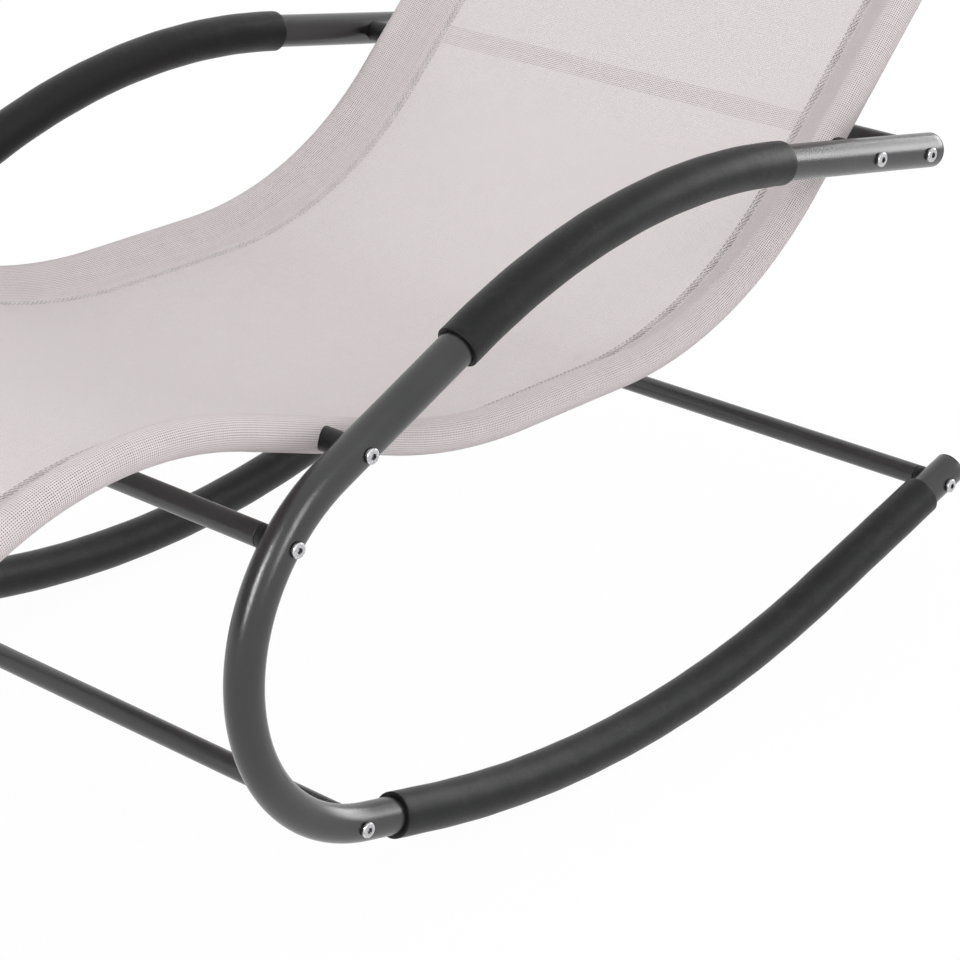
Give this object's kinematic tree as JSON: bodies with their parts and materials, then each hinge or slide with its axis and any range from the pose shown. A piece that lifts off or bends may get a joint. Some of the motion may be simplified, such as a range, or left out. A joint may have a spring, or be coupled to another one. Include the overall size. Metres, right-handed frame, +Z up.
{
  "type": "rocking chaise lounge",
  "caption": "Rocking chaise lounge with C-shaped tubular side frames, foam-sleeved armrests and rockers, and a mesh cloth sling stretched on two bent rails.",
  "frame": {"origin": "on the floor, midway between the two places where the rockers touch it", "axes": "+X from the foot end towards the head end, +Y across to the sitter's right, +Z up"},
  "size_m": [1.5404, 0.627, 0.864],
  "materials": {
    "coat": "satin dark grey powder coat on steel tube",
    "foam": "matte black closed-cell foam",
    "plastic": "matte black moulded plastic",
    "zinc": "bright zinc-plated steel",
    "cloth": "woven PVC-coated mesh, pale beige-grey"
  },
  "bodies": {
    "root": {"arm_cap_left": "plastic", "arm_cap_right": "plastic", "arm_sleeve_left": "foam", "arm_sleeve_right": "foam", "back_crossbar": "coat", "bolt_back_left": "zinc", "bolt_back_right": "zinc", "bolt_front_left": "zinc", "bolt_front_right": "zinc", "bolt_knee_left": "zinc", "bolt_knee_right": "zinc", "bolt_rear_left": "zinc", "bolt_rear_right": "zinc", "foot_spreader": "coat", "front_crossbar": "coat", "head_spreader": "coat", "knee_crossbar": "coat", "rail_bolt_back_left": "zinc", "rail_bolt_back_right": "zinc", "rail_bolt_knee_left": "zinc", "rail_bolt_knee_right": "zinc", "rail_cap_foot_left": "plastic", "rail_cap_foot_right": "plastic", "rail_cap_head_left": "plastic", "rail_cap_head_right": "plastic", "rail_lower_left": "coat", "rail_lower_right": "coat", "rail_spacer_back_left": "plastic", "rail_spacer_back_right": "plastic", "rail_spacer_knee_left": "plastic", "rail_spacer_knee_right": "plastic", "rail_upper_left": "coat", "rail_upper_right": "coat", "rear_crossbar": "coat", "rocker_cap_left": "plastic", "rocker_cap_right": "plastic", "rocker_sleeve_left": "foam", "rocker_sleeve_right": "foam", "saddle_back_left": "plastic", "saddle_back_right": "plastic", "saddle_front_left": "plastic", "saddle_front_right": "plastic", "saddle_knee_left": "plastic", "saddle_knee_right": "plastic", "saddle_rear_left": "plastic", "saddle_rear_right": "plastic", "side_tube_left": "coat", "side_tube_right": "coat", "sling": "cloth", "spreader_bolt_foot_left": "zinc", "spreader_bolt_foot_right": "zinc", "spreader_bolt_head_left": "zinc", "spreader_bolt_head_right": "zinc"}
  },
  "joints": []
}
